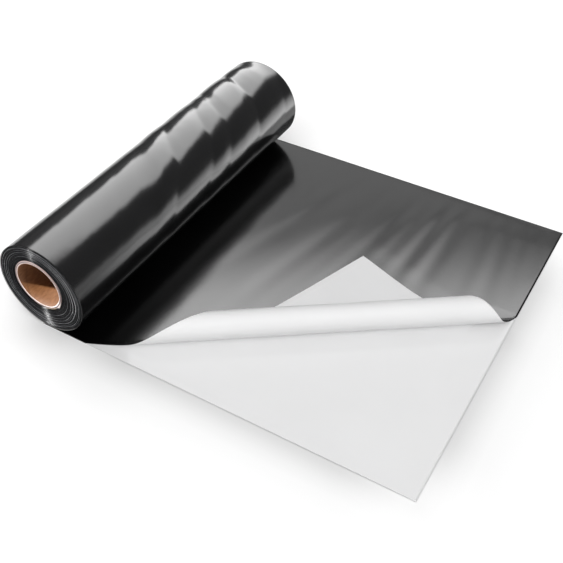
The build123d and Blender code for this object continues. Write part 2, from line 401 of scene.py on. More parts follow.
def path(length):
    """Where the film's outer, adhesive side is at a length along it from the peel line: n and z."""
    length = np.asarray(length, float)
    a = length / CURL_R
    n = FOLD_N + CURL_R * np.sin(a)
    z = CURL_Z - CURL_R * np.cos(a)
    s = length - turn_length
    on = s > 0
    n = np.where(on, turn_n - s * math.cos(back), n)
    z = np.where(on, turn_z - s * math.sin(back), z)
    w = (length - bend_length) / BACK_R
    on = w > 0
    n = np.where(on, bend_n - BACK_R * (math.sin(back) - np.sin(back - w)), n)
    z = np.where(on, bend_z - BACK_R * (np.cos(back - w) - math.cos(back)), z)
    s = length - land_length
    on = s > 0
    n = np.where(on, land_n - s, n)
    z = np.where(on, FLAP_Z, z)
    return n, z


def place(t, n, z):
    return np.stack([t * CF + n * SF, t * SF - n * CF, z + 0 * t], -1)


# ---------------------------------------------------------------- flat film, with the foot of the curl
FOOT = math.radians(15) * CURL_R
FILM_T = 0.12
FILM_TOP = 0.30


def sheet_waves(x, y):
    """Height of the film's slack above the liner: soft ridges from the peel line that draw together beyond the far edge."""
    turn_by = np.arctan2(x - 440, 900 - y)
    w = noise1(turn_by * 58, 41, 2) * 0.8 + 0.3 * noise1(turn_by * 34 + y / 260, 43, 1)
    w = 0.5 + 0.5 * np.clip(w, -1, 1)
    reach = 230 - 172 * smooth((x - 180) / 300)
    spread = smooth((HALF - y) / reach) * smooth((y + HALF) / 50) * smooth((END_X - x) / 60 + 0.35) * smooth((x - 110) / 140)
    # free of the flap that lies on it, the film stands higher
    t, n = x * CF + y * SF, x * SF - y * CF
    clear = np.maximum(TIP_N - n, np.maximum((TIP_T - 1.446 * (n - TIP_N) - t) / 1.758, (t - TIP_T - 0.722 * (n - TIP_N)) / 1.233))
    return w * spread * (0.68 + 0.42 * smooth((clear - 4) / 40) * smooth((x - 250) / 150))


def edge_lift(x, y):
    """The cut edges stand a little off what they lie on."""
    out = smooth((x - fold_start_x) / 30)
    near = 0.8 * np.exp(-(((y + HALF) / 7.0) ** 2)) * out
    end = 0.55 * np.exp(-(((END_X - x) / 18.0) ** 2))
    far = 0.15 * np.exp(-(((HALF - y) / 6.0) ** 2)) * out
    away = x * SF - y * CF - FOLD_N
    return np.maximum(near, np.maximum(end * np.where(away < 0, 0.35, 1.0), far)) * np.where(away < 0, smooth((-away - 22) / 60), smooth((away - 6) / 25))


def build_film_sheet():
    low = np.linspace(-HALF, fold_end_y, 171)
    high = np.linspace(fold_end_y, HALF, 84)[1:]
    ys = np.concatenate([low, high])
    cols = 215
    u = np.linspace(0, 1, cols)
    x_end = np.where(ys < fold_end_y, (FOLD_N + CF * ys) / SF, END_X)
    X = TUCK_X + (x_end[:, None] - TUCK_X) * u[None, :]
    Y = np.repeat(ys[:, None], cols, 1)
    fade = smooth((x_end[:, None] - X) / 55)
    fade = np.where(ys[:, None] > fold_end_y, 1.0, fade)
    Z = FILM_TOP + sheet_waves(X, Y) * fade + edge_lift(X, Y)
    top = np.stack([X, Y, Z], -1)
    # tucked fold at the roll side, from its upper leg down to the flat run
    arc = np.linspace(math.pi / 2, -math.pi / 2, 9)[:-1]
    rt = TUCK_Z - FILM_TOP
    tuck_x = np.concatenate([[TUCK_LEG_X], TUCK_X - rt * np.cos(arc)])
    tuck_z = np.concatenate([[TUCK_Z + rt], TUCK_Z + rt * np.sin(arc)])
    tuck = np.zeros((len(ys), len(tuck_x), 3))
    tuck[..., 0], tuck[..., 1], tuck[..., 2] = tuck_x[None, :], ys[:, None], tuck_z[None, :]
    main = np.concatenate([tuck, top], 1)
    rows, width = main.shape[:2]
    # foot of the curl, from the peel line round to where the curl's own piece begins
    nfoot = 6
    lengths = np.linspace(0, FOOT, nfoot)[1:]
    k = len(low)
    near0, end0 = NEAR_EDGE[0][1], END_EDGE[0][1]
    tf = ((FOLD_N + CF * low) / SF) * CF + low * SF
    v = (tf - near0) / (end0 - near0)
    n, z = path(lengths)
    T = pchip(NEAR_EDGE, lengths)[None, :] * (1 - v[:, None]) + pchip(END_EDGE, lengths)[None, :] * v[:, None]
    ang = lengths / CURL_R
    # the black side is the inside of the curl
    ni, zi = n - FILM_T * np.sin(ang), z + FILM_T * np.cos(ang)
    foot = place(T, ni[None, :] + 0 * T, zi[None, :] + 0 * T)
    nm = grid_normals(main)
    main_low = main - np.array([0, 0, FILM_T])[None, None, :]
    # on the tuck the layer's back is away from the U's centre
    d = main[:, : tuck.shape[1]] - np.array([TUCK_X, 0, TUCK_Z])
    d[..., 1] = 0
    d[:, 0] = [0, 0, 1]
    d /= np.linalg.norm(d, axis=-1, keepdims=True)
    main_low[:, : tuck.shape[1]] = main[:, : tuck.shape[1]] + d * FILM_T
    foot_low = place(T, n[None, :] + 0 * T, z[None, :] + 0 * T)
    P = np.concatenate([main.reshape(-1, 3), foot.reshape(-1, 3), main_low.reshape(-1, 3), foot_low.reshape(-1, 3)])
    base_foot = rows * width
    half = base_foot + k * (nfoot - 1)
    top_faces = [grid_faces(rows, width)]
    fc = nfoot - 1
    idx_last = np.arange(k) * width + width - 1
    f0 = base_foot + np.arange(k) * fc
    top_faces.append(np.stack([idx_last[:-1], f0[:-1], f0[1:], idx_last[1:]], -1))
    top_faces.append(grid_faces(k, fc, base_foot))
    top_faces = np.concatenate(top_faces)
    low_faces = top_faces[:, ::-1] + half
    # rim: walk the outline of the top
    outline = list(range(0, width)) + [base_foot + j for j in range(fc)]
    outline += [base_foot + i * fc + fc - 1 for i in range(1, k)]
    outline += [base_foot + (k - 1) * fc + j for j in range(fc - 2, -1, -1)]
    outline += [(k - 1) * width + width - 1]
    outline += [i * width + width - 1 for i in range(k, rows)]
    outline += [(rows - 1) * width + j for j in range(width - 2, -1, -1)]
    outline += [i * width for i in range(rows - 2, 0, -1)]
    o = np.array(outline)
    nxt = np.roll(o, -1)
    rim = np.stack([o, o + half, nxt + half, nxt], -1)
    faces = np.concatenate([top_faces, low_faces, rim])
    mats = np.concatenate([np.zeros(len(top_faces)), np.ones(len(low_faces)), np.zeros(len(rim))])
    return P, faces.tolist(), mats


P, F, M = build_film_sheet()
film_sheet = mesh("film_sheet", P, F, "web", ("web_film", "web_adhesive"), (film_flat, adhesive), M)

# ---------------------------------------------------------------- curl and flap, one sheet that bends as the flap lifts
low = np.linspace(-HALF, fold_end_y, 171)
near0, end0 = NEAR_EDGE[0][1], END_EDGE[0][1]
V = (((FOLD_N + CF * low) / SF) * CF + low * SF - near0) / (end0 - near0)


def build_peel():
    lengths = np.concatenate(
        [
            np.linspace(FOOT, turn_length, 60),
            np.linspace(turn_length, bend_length, 6)[1:],
            np.linspace(bend_length, land_length, 22)[1:],
            land_length + (tip_length - land_length) * (np.linspace(0, 1, 44)[1:]),
        ]
    )
    lengths[-1] = tip_length - 0.25
    n, z = path(lengths)
    near, end = pchip(NEAR_EDGE, lengths), pchip(END_EDGE, lengths)
    T = near[None, :] * (1 - V[:, None]) + end[None, :] * V[:, None]
    n = n[None, :] + 0 * T
    z = z[None, :] + 0 * T
    # slight unevenness of a hand-peeled curl
    sway = smooth((lengths - FOOT) / 25)[None, :]
    flat = smooth((lengths - bend_length) / 40)[None, :]
    out = 0.35 * noise1(T / 60, 3, 2) * sway * (1 - flat)
    lift = flat * (0.18 * (1 + noise1(T / 45 + n / 70, 5, 2)))
    p = place(T, n, z)
    normal = grid_normals(p)
    a = lengths / CURL_R
    # make the normals point to the adhesive side
    ref = place(0 * T, np.sin(np.minimum(a, turn))[None, :] + 0 * T, -np.cos(np.minimum(a, turn))[None, :] + 0 * T)
    ref[:, lengths > bend_length] = [0, 0, 1]
    sign = np.sign((normal * ref).sum(-1, keepdims=True))
    normal *= sign
    p = p + normal * out[..., None]
    p[..., 2] += lift
    inner = p - normal * FILM_T
    rows, cols = p.shape[:2]
    P = np.concatenate([p.reshape(-1, 3), inner.reshape(-1, 3)])
    outer_faces = grid_faces(rows, cols)
    half = rows * cols
    inner_faces = outer_faces[:, ::-1] + half
    outline = (
        list(range(cols))
        + [i * cols + cols - 1 for i in range(1, rows)]
        + [(rows - 1) * cols + j for j in range(cols - 2, -1, -1)]
        + [i * cols for i in range(rows - 2, 0, -1)]
    )
    o = np.array(outline)
    nxt = np.roll(o, -1)
    rim = np.stack([o, o + half, nxt + half, nxt], -1)
    faces = np.concatenate([outer_faces, inner_faces, rim])
    mats = np.concatenate([np.zeros(len(outer_faces)), np.ones(len(inner_faces)), np.zeros(len(rim))])
    # which way round the outer faces are
    q = P[outer_faces[len(outer_faces) // 2]]
    f = np.cross(q[1] - q[0], q[2] - q[0])
    if (f * normal.reshape(-1, 3)[outer_faces[len(outer_faces) // 2][0]]).sum() < 0:
        faces = faces[:, ::-1]
    return P, faces.tolist(), mats


P, F, M = build_peel()
film_peel = mesh("film_peel", P, F, None, ("curl_film", "curl_adhesive", "flap_film", "flap_adhesive"), (adhesive, film_flat), M)


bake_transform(film_peel)

# ---------------------------------------------------------------- liner
def build_liner():
    xs = np.concatenate([np.linspace(TUCK_X, 60, 16), np.linspace(60, END_X, 140)[1:]])
    ys = np.concatenate([np.linspace(-HALF, -HALF + 14, 12), np.linspace(-HALF + 14, HALF - 14, 110)[1:], np.linspace(HALF - 14, HALF, 12)[1:]])
    rb = TUCK_Z - 0.15
    arc = np.linspace(math.pi / 2, -math.pi / 2, 11)[:-1]
    tx = np.concatenate([[TUCK_LEG_X], TUCK_X - rb * np.cos(arc)])
    tz = np.concatenate([[TUCK_Z + rb], TUCK_Z + rb * np.sin(arc)])
    x = np.concatenate([tx, xs])
    z = np.concatenate([tz, np.full(len(xs), 0.15)])
    top = np.zeros((len(ys), len(x), 3))
    top[..., 0], top[..., 1], top[..., 2] = x[None, :], ys[:, None], z[None, :]
    top[:, len(tx) :, 2] += edge_lift(top[:, len(tx) :, 0], top[:, len(tx) :, 1])
    low = top.copy()
    low[..., 2] -= 0.15
    d = top[:, : len(tx)] - np.array([TUCK_X, 0, TUCK_Z])
    d[..., 1] = 0
    d[:, 0] = [0, 0, 1]
    d /= np.linalg.norm(d, axis=-1, keepdims=True)
    low[:, : len(tx)] = top[:, : len(tx)] + d * 0.15
    rows, cols = top.shape[:2]
    half = rows * cols
    f = grid_faces(rows, cols)
    outline = (
        list(range(cols))
        + [i * cols + cols - 1 for i in range(1, rows)]
        + [(rows - 1) * cols + j for j in range(cols - 2, -1, -1)]
        + [i * cols for i in range(rows - 2, 0, -1)]
    )
    o = np.array(outline)
    nxt = np.roll(o, -1)
    rim = np.stack([o, o + half, nxt + half, nxt], -1)
    faces = np.concatenate([f, f[:, ::-1] + half, rim])
    mats = np.concatenate([np.zeros(len(f)), np.ones(len(f)), np.ones(len(rim))])
    return np.concatenate([top.reshape(-1, 3), low.reshape(-1, 3)]), faces.tolist(), mats


P, F, M = build_liner()
liner_sheet = mesh("liner_sheet", P, F, "web", ("web_liner",), (liner, paper_back), M)

# ---------------------------------------------------------------- roll: outer turn
# Creases of the slack outer turns: where each crosses the line 10 degrees down from the top, its slant, and its depth.
CREASES = [
    (-420, 0.95, 0.02), (-262, 0.95, 0.10), (-190, 0.92, 0.14), (-128, 0.92, 0.12), (-78, 0.90, 0.25),
    (9, 0.86, 1.0), (96, 0.72, 1.0), (137, 0.51, 0.95), (218, 0.42, 0.9), (300, 0.35, 0.30), (400, 0.30, 0.1),
]


def skin_height(alpha, y):
    """How far the outer turn bulges at an angle round the roll (from the top, towards the web) and a place along it."""
    deg = np.degrees(alpha)
    s = (deg - 10) * math.radians(1) * ROLL_R
    h = np.zeros_like(y)
    keep = np.exp(-(((deg - 5) / 95.0) ** 4)) * (0.33 + 0.67 * np.exp(-(((deg - 6) / 40.0) ** 2)))
    # the creases are not straight
    bent = y + 2.6 * noise1(s / 20, 51, 1) + 3.2 * noise1(y / 13 + s / 50, 52, 2)
    for (y0, m0, d0), (y1, m1, d1) in zip(CREASES, CREASES[1:]):
        a = y0 - m0 * s
        b = y1 - m1 * s
        w = np.maximum(b - a, 12.0)
        u = (bent - a) / w
        inside = (u >= 0) & (u < 1)
        bulge = 4 * u * (1 - u) * (0.8 + 0.5 * u)
        if d0 < 0.5 < d1:
            bulge = bulge * smooth(u * 1.5)
        h += np.where(inside, bulge * SWING / (0.5 * (m0 + m1)) * w / 4 * (d1 if d1 > d0 else 0.5 * (d0 + d1)), 0)
    ends = smooth((y + HALF) / 70) * smooth((HALF - y) / 45)
    # small puckers over the far half
    far = smooth((y + 90) / 110) * ends * (0.2 + 0.8 * smooth((14 - deg) / 26)) * np.exp(-(((deg + 2) / 55.0) ** 4))
    pucker = np.abs(noise1(bent / 7.5 + s / 9.0, 53, 2)) ** 0.8 * 0.22 + 0.16 * noise1(bent / 11 - s / 21.0, 54, 2)
    h = h * keep * ends + pucker * far
    h += 0.09 * noise1(y / 27 + s / 34, 11, 3) * smooth((y + HALF) / 50)
    return h


SWING = 0.10


def build_skin():
    na, ny = 300, 420
    # from the bottom, round by the web's side and over the top, to the bottom again
    th = np.linspace(math.pi, -math.pi + math.radians(0.6), na)
    ys = np.linspace(-HALF, HALF, ny)
    A, Y = np.meshgrid(th, ys, indexing="ij")
    turn_in = (math.pi - A) / (2 * math.pi)
    base = ROLL_R - 0.62 - 0.55 * turn_in
    h = skin_height(A, Y)
    # film is stiff enough to round its own creases a little
    for axis, cells in ((0, 1.1), (1, 1.9)):
        k = np.exp(-0.5 * (np.arange(-6, 7) / cells) ** 2)
        pad = [(6, 6) if a == axis else (0, 0) for a in (0, 1)]
        h = np.apply_along_axis(np.convolve, axis, np.pad(h, pad, mode="edge"), k / k.sum(), "valid")
    h = np.where(np.abs(np.degrees(A)) > 150, h * smooth((180 - np.abs(np.degrees(A))) / 30), h)
    top = ROLL_R - 0.02 + 2.4 * smooth((150 - np.abs(np.degrees(A))) / 40)
    R = np.where(base + h > top - 0.5, top - 0.5 * np.exp(-np.maximum(base + h - top + 0.5, 0) / 0.5), base + h)
    out = np.stack([R * np.sin(A), Y, ROLL_Z + R * np.cos(A)], -1)
    Ri = R - 0.30
    inn = np.stack([Ri * np.sin(A), Y, ROLL_Z + Ri * np.cos(A)], -1)
    f = grid_faces(na, ny)
    half = na * ny
    outline = (
        list(range(ny))
        + [i * ny + ny - 1 for i in range(1, na)]
        + [(na - 1) * ny + j for j in range(ny - 2, -1, -1)]
        + [i * ny for i in range(na - 2, 0, -1)]
    )
    o = np.array(outline)
    nxt = np.roll(o, -1)
    rim = np.stack([o, o + half, nxt + half, nxt], -1)
    faces = np.concatenate([f, f[:, ::-1] + half, rim])
    q = out.reshape(-1, 3)[f[len(f) // 2]]
    c = np.cross(q[1] - q[0], q[2] - q[0])
    mid = q.mean(0) - np.array([0, q.mean(0)[1], ROLL_Z])
    if (c * mid).sum() < 0:
        faces = faces[:, ::-1]
    mats = np.concatenate([np.zeros(len(f)), np.ones(len(f)), np.full(len(rim), 0)])
    return np.concatenate([out.reshape(-1, 3), inn.reshape(-1, 3)]), faces.tolist(), mats


P, F, M = build_skin()
outer_turn = mesh("outer_turn", P, F, "roll", (), (film_roll, paper_back), M)

# ---------------------------------------------------------------- roll: wound pack
TURNS = 44
PER = 5


def build_pack():
    na = 320
    total = TURNS * PER
    r_in, r_out = CORE_R + 0.35, ROLL_R - 1.62
    th = np.linspace(0, 2 * math.pi, na + 1)
    j = np.arange(total + 1)
    # spiral: each turn carries on one turn further out
    TH, J = np.meshgrid(th, j, indexing="ij")
    f = np.clip((J / PER + TH / (2 * math.pi)) / (TURNS + 1), 0, 1)
    # angle from the top towards the web; the spiral starts and ends at the bottom
    A = math.pi - TH
    cx, cz = CORE_X * (1 - f), CORE_Z + (ROLL_Z - CORE_Z) * f
    R = r_in + (r_out - r_in) * f
    deg = np.degrees(A)
    # slack turns below, on the web's side, with a few flats in them
    low = np.exp(-(((deg - 118) / 38) ** 2)) * smooth((f - 0.35) / 0.3) * smooth((1.0 - f) / 0.06)
    flats = np.abs(np.sin(np.radians(deg) * 4.5 + 5 * f)) - 0.6
    R = R + low * (1.15 * flats + 0.40 * np.sin(f * 60 + 1.3))
    x = cx + R * np.sin(A)
    z = cz + R * np.cos(A)
    phase = J % PER
    ridge = np.array([0.0, 0.34, 0.46, 0.34, 0.06])[phase.astype(int)]
    k = np.floor(J / PER).astype(int)
    turn_id = k + TH / (2 * math.pi)
    wander = 0.32 * noise1(turn_id * 1.3, 21, 2) + 0.22 * noise1(turn_id * 4.1 + 2 * np.cos(A), 22, 2)
    depth = 0.95 - ridge - 0.5 * wander
    depth = np.clip(depth, 0.05, 2.0)
    pick = np.random.default_rng(12).uniform(0, 1, TURNS + 3)
    along_turn = 0.5 + 0.5 * noise1(A * 1.6 + k * 2.1, 33, 3)
    tone = 0.03 + 0.50 * pick[k] ** 3 * (0.15 + 0.85 * along_turn)
    tone = np.where(phase == 0, 0.0, tone)
    # turns that have come loose stand out further and show the liner's paler edge, brightened further by a painted
    # highlight that is strongest low on the web's side
    for fl, strength in ((0.14, 0.55), (0.22, 0.45), (0.30, 0.75), (0.37, 0.5), (0.46, 0.85), (0.56, 0.98), (0.61, 0.6), (0.71, 1.0), (0.80, 0.7), (0.87, 0.95), (0.94, 0.6)):
        at = int(round(fl * TURNS))
        here = (k == at) & (phase >= 1)
        pale_edge_and_highlight = strength * (0.60 + 0.14 * np.exp(-(((deg - 92) / 62) ** 2))) * (0.78 + 0.36 * along_turn)
        tone = np.where(here, np.maximum(tone, pale_edge_and_highlight), tone)
        depth = np.where((k == at) & (phase >= 1), 0.10, depth)
    # vertices at the end of a turn are the next turn's first ones
    ids = np.full((na + 1, total + 1), -1)
    count = 0
    for jj in range(total + 1):
        ids[:na, jj] = np.arange(na) + count
        count += na
    last = np.zeros(total + 1, int)
    extra = []
    for jj in range(total + 1):
        if jj + PER <= total:
            last[jj] = ids[0, jj + PER]
        else:
            last[jj] = count + len(extra)
            extra.append(jj)
    ids[na] = last
    X, Z, D, T = (np.concatenate([v[:na].T.reshape(-1), v[na, extra]]) for v in (x, z, depth, tone))
    near = np.stack([X, -HALF + D, Z], -1)
    far = np.stack([X, HALF - D, Z], -1)
    n = len(X)
    q = np.stack([ids[:-1, :-1], ids[1:, :-1], ids[1:, 1:], ids[:-1, 1:]], -1).reshape(-1, 4)
    # outline: inner edge, the end cap at the outer end, outer edge, the start cap
    inner = list(ids[:, 0])
    start = [ids[0, jj] for jj in range(PER - 1, 0, -1)]
    loop_in = inner + start  # closes at ids[0, 0]
    outer = list(ids[:, total])
    end = [ids[na, jj] for jj in range(total - 1, total - PER, -1)]
    loop_out = outer + end  # closes at ids[0, total]
    faces = [q, q[:, ::-1] + n]
    for loop, sign in ((loop_in, 1), (loop_out, -1)):
        o = np.array(loop)
        nx = np.roll(o, -1)
        r = np.stack([o, o + n, nx + n, nx], -1)
        faces.append(r if sign > 0 else r[:, ::-1])
    faces = np.concatenate(faces)
    # near end must face -Y
    a, b, c = near[q[1000][0]], near[q[1000][1]], near[q[1000][2]]
    if np.cross(b - a, c - a)[1] > 0:
        faces = faces[:, ::-1]
    return np.concatenate([near, far]), faces.tolist(), np.concatenate([T, T])


P, F, T = build_pack()
wound_pack = mesh("wound_pack", P, F, "roll", ("wound_film", "wound_adhesive", "wound_liner"), (wound_edges,), None)
attribute = wound_pack.data.attributes.new("tone", "FLOAT", "POINT")
attribute.data.foreach_set("value", np.clip(T, 0, 1).astype(np.float32))


# ---------------------------------------------------------------- core
def build_tube(r0, r1, seed, jag, proud, nick=0.0, fray=0.0):
    na = 256
    th = np.linspace(0, 2 * math.pi, na, endpoint=False)
    rings = []
    b = min(0.25, (r1 - r0) / 4)
    e_near = proud + jag * noise1(th * 6, seed, 4)
    e_far = proud + jag * noise1(th * 6 + 3, seed + 1, 4)
    nickiness = nick * np.exp(-(((np.degrees(th) - 128 + 360) % 360 / 14) ** 2)) + nick * np.exp(-(((np.degrees(th) - 128) / 14) ** 2))
    bite = nickiness * (0.6 + 0.5 * np.abs(noise1(th * 22, seed + 5, 3)))
    e_near = e_near - bite
    torn = np.exp(-(((np.degrees(th) - 125) / 11) ** 2)) * (0.45 + 0.55 * np.abs(noise1(th * 40, seed + 9, 3)))
    e_near = e_near + fray * torn
    ny = 48
    inner_y = np.linspace(0, 1, ny)
    prof = [(r0 + b, 0, 0.0), (r0, b, 0.0)]
    for r, off, kind in [(r1 - b, 0, 0), (r0 + b, 0, 0)]:
        rings.append((r, -HALF - e_near + off))
    rings.append((r0, -HALF - e_near + b))
    for u in inner_y[1:-1]:
        rings.append((r0, -HALF - e_near + b + u * (W + e_near + e_far - 2 * b)))
    rings.append((r0, HALF + e_far - b))
    rings.append((r0 + b, HALF + e_far))
    rings.append((r1 - b, HALF + e_far))
    rings.append((r1, HALF + e_far - b))
    for u in inner_y[::-1][1:-1]:
        rings.append((r1, -HALF - e_near + b + u * (W + e_near + e_far - 2 * b)))
    rings.append((r1, -HALF - e_near + b))
    pts = []
    for i, (r, y) in enumerate(rings):
        y = y + 0 * th
        r = r + 0 * th
        if fray and i in (0, len(rings) - 1):
            r = r + fray * 1.5 * torn
            y = y - 0.4 * torn * (i > 0)
        if fray and i in (1, 2):
            r = r - fray * 0.3 * torn
        pts.append(np.stack([CORE_X + r * np.sin(th), y, CORE_Z + r * np.cos(th)], -1))
    p = np.array(pts)
    n = len(rings)
    i = np.arange(n)[:, None] * na
    j = np.arange(na)[None, :]
    i2, j2 = ((np.arange(n)[:, None] + 1) % n) * na, (np.arange(na)[None, :] + 1) % na
    q = np.stack([i + j, i + j2, i2 + j2, i2 + j], -1).reshape(-1, 4)
    # inner wall must face the axis
    k = 6 * na
    a, b_, c = (p.reshape(-1, 3)[v] for v in q[k][:3])
    if np.cross(b_ - a, c - a) @ (a - np.array([CORE_X, a[1], CORE_Z])) > 0:
        q = q[:, ::-1]
    return p.reshape(-1, 3), q.tolist()


P, F = build_tube(BORE_R, 38.95, 41, 0.06, -0.25, 3.2)
core_lining = mesh("core_lining", P, F, "roll", ("core_inner_ply",), (kraft,), None)
P, F = build_tube(39.0, 42.0, 43, 0.10, -0.05, 0.0, 2.6)
core_board = mesh("core_board", P, F, "roll", ("core_body_plies",), (board,), None)
P, F = build_tube(42.03, CORE_R, 45, 0.08, -0.2, 1.0)
core_face = mesh("core_face", P, F, "roll", ("core_outer_ply",), (face_ply,), None)
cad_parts["start_tape"].data.materials.clear()
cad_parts["start_tape"].data.materials.append(tape_mat)

# ---------------------------------------------------------------- stage
floor_mesh = bpy.data.meshes.new("floor")
floor_mesh.from_pydata([(-12, -12, -0.0002), (12, -12, -0.0002), (12, 12, -0.0002), (-12, 12, -0.0002)], [], [(0, 1, 2, 3)])
floor = bpy.data.objects.new("floor", floor_mesh)
bpy.context.scene.collection.objects.link(floor)
fm, ft, fb = new_material("floor")
# a painted shadow in the floor's colour, soft, along the web's near edge and its end edge
f_where = ft.nodes.new("ShaderNodeTexCoord")
f_xyz = ft.nodes.new("ShaderNodeSeparateXYZ")
ft.links.new(f_where.outputs["Object"], f_xyz.inputs[0])


def floor_range(source, low, high, to_low, to_high, kind="LINEAR"):
    n = ft.nodes.new("ShaderNodeMapRange")
    n.interpolation_type = kind
    n.inputs["From Min"].default_value = low
    n.inputs["From Max"].default_value = high
    n.inputs["To Min"].default_value = to_low
    n.inputs["To Max"].default_value = to_high
    ft.links.new(source, n.inputs["Value"])
    return n.outputs["Result"]


def floor_math(kind, a, b):
    n = ft.nodes.new("ShaderNodeMath")
    n.operation = kind
    for socket, value in zip(n.inputs, (a, b)):
        if isinstance(value, float):
            socket.default_value = value
        else:
            ft.links.new(value, socket)
    return n.outputs[0]


past_end = floor_range(f_xyz.outputs["X"], END_X * MM, END_X * MM + 1.0, 0.0, 1.0)
past_near = floor_range(f_xyz.outputs["Y"], -HALF * MM, -HALF * MM - 1.0, 0.0, 1.0)
reach = floor_math("SQRT", floor_math("ADD", floor_math("MULTIPLY", past_end, past_end), floor_math("MULTIPLY", past_near, past_near)), 0.0)
where = floor_math("MULTIPLY", floor_range(f_xyz.outputs["X"], 0.0, 0.15, 0.0, 1.0, "SMOOTHSTEP"), floor_range(f_xyz.outputs["Y"], 0.31, 0.14, 0.0, 1.0, "SMOOTHSTEP"))
# the painted shadow is fainter round the near corner
f_tip = ft.nodes.new("ShaderNodeVectorMath")
f_tip.operation = "DISTANCE"
f_tip.inputs[1].default_value = (END_X * MM, -HALF * MM, 0.0)
ft.links.new(f_where.outputs["Object"], f_tip.inputs[0])
where = floor_math("MULTIPLY", where, floor_range(f_tip.outputs["Value"], 0.0, 0.12, 0.4, 1.0, "SMOOTHSTEP"))
painted_shadow_ramp = ft.nodes.new("ShaderNodeValToRGB")
PAINTED_SHADOW_FALLOFF = [(0.0, 0.36), (0.075, 0.33), (0.15, 0.273), (0.26, 0.20), (0.40, 0.14), (0.58, 0.115), (0.83, 0.085), (1.0, 0.0)]
for _ in range(len(PAINTED_SHADOW_FALLOFF) - 2):
    painted_shadow_ramp.color_ramp.elements.new(0.5)
for e, (at, v) in zip(painted_shadow_ramp.color_ramp.elements, PAINTED_SHADOW_FALLOFF):
    e.position, e.color = at, (v, v, v, 1)
ft.links.new(floor_range(reach, 0.0, 0.12, 0.0, 1.0), painted_shadow_ramp.inputs["Fac"])
shade = floor_math("MULTIPLY", painted_shadow_ramp.outputs["Color"], where)
# painted shadow: mixes the floor's base colour towards black by the shade above
painted_shadow_mix = ft.nodes.new("ShaderNodeMixRGB")
painted_shadow_mix.inputs[1].default_value = (0.94, 0.94, 0.94, 1)
painted_shadow_mix.inputs[2].default_value = (0.0, 0.0, 0.0, 1)
ft.links.new(shade, painted_shadow_mix.inputs["Fac"])
ft.links.new(painted_shadow_mix.outputs[0], fb.inputs["Base Color"])
fb.inputs["Roughness"].default_value = 0.9
fb.inputs["Specular IOR Level"].default_value = 0.1
# far from the object the floor is evenly white, so that it meets the backdrop without a grey band
f_coords = ft.nodes.new("ShaderNodeTexCoord")
f_length = ft.nodes.new("ShaderNodeVectorMath")
f_length.operation = "LENGTH"
f_far = ft.nodes.new("ShaderNodeMapRange")
f_far.interpolation_type = "SMOOTHSTEP"
f_far.inputs["From Min"].default_value = 1.7
f_far.inputs["From Max"].default_value = 5.0
f_far.inputs["To Max"].default_value = 0.95
f_path = ft.nodes.new("ShaderNodeLightPath")
f_seen = ft.nodes.new("ShaderNodeMath")
f_seen.operation = "MULTIPLY"
ft.links.new(f_coords.outputs["Object"], f_length.inputs[0])
ft.links.new(f_length.outputs["Value"], f_far.inputs["Value"])
ft.links.new(f_far.outputs["Result"], f_seen.inputs[0])
ft.links.new(f_path.outputs["Is Camera Ray"], f_seen.inputs[1])
fb.inputs["Emission Color"].default_value = (1, 1, 1, 1)
ft.links.new(f_seen.outputs[0], fb.inputs["Emission Strength"])
floor_mesh.materials.append(fm)

# two dark flags, seen only in the roll's gloss: one standing behind it, and one lying beyond its far end as a painted
# shade, standing in for the floor's shadow there as the roll mirrors it
flag_mat, _, flag_bsdf = new_material("flag")
flag_bsdf.inputs["Base Color"].default_value = (0.004, 0.004, 0.004, 1)
flag_bsdf.inputs["Specular IOR Level"].default_value = 0.0
flag_bsdf.inputs["Emission Color"].default_value = (1, 1, 1, 1)
flag_bsdf.inputs["Emission Strength"].default_value = 0.1
for flag_name, corners in (
    ("flag_back", [(-0.72, -1.2, 0.001), (-0.72, 2.4, 0.001), (-0.72, 2.4, 0.29), (-0.72, -1.2, 0.29)]),
    ("floor_shade_flag", [(0.0, 0.300, 0.00008), (0.113, 0.300, 0.00008), (0.113, 0.40, 0.00008), (0.0, 0.40, 0.00008)]),
):
    flag_mesh = bpy.data.meshes.new(flag_name)
    flag_mesh.from_pydata(corners, [], [(0, 1, 2, 3)])
    flag_mesh.materials.append(flag_mat)
    flag = bpy.data.objects.new(flag_name, flag_mesh)
    bpy.context.scene.collection.objects.link(flag)
    flag.visible_camera = False
    flag.visible_shadow = False
    flag.visible_diffuse = False

world = bpy.data.worlds.new("world")
bpy.context.scene.world = world
world.use_nodes = True
wt = world.node_tree
bg = wt.nodes["Background"]
bg.inputs["Color"].default_value = (1, 1, 1, 1)
WORLD = 0.22
lp = wt.nodes.new("ShaderNodeLightPath")
mr = wt.nodes.new("ShaderNodeMapRange")
mr.inputs["To Min"].default_value = WORLD
mr.inputs["To Max"].default_value = 0.95
wt.links.new(lp.outputs["Is Camera Ray"], mr.inputs["Value"])
wt.links.new(mr.outputs["Result"], bg.inputs["Strength"])


def collection(name, objects):
    c = bpy.data.collections.new(name)
    for o in objects:
        c.objects.link(o)
    return c


roll_only = collection("lit_roll", [outer_turn])
film_only = collection("lit_film", [film_sheet])
white_only = collection("lit_white", [film_peel, liner_sheet])
liner_only = collection("lit_liner", [liner_sheet])
peel_only = collection("lit_peel", [film_peel])
core_only = collection("lit_core", [wound_pack, core_lining, core_board, core_face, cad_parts["start_tape"]])
floor_only = collection("lit_floor", [floor])


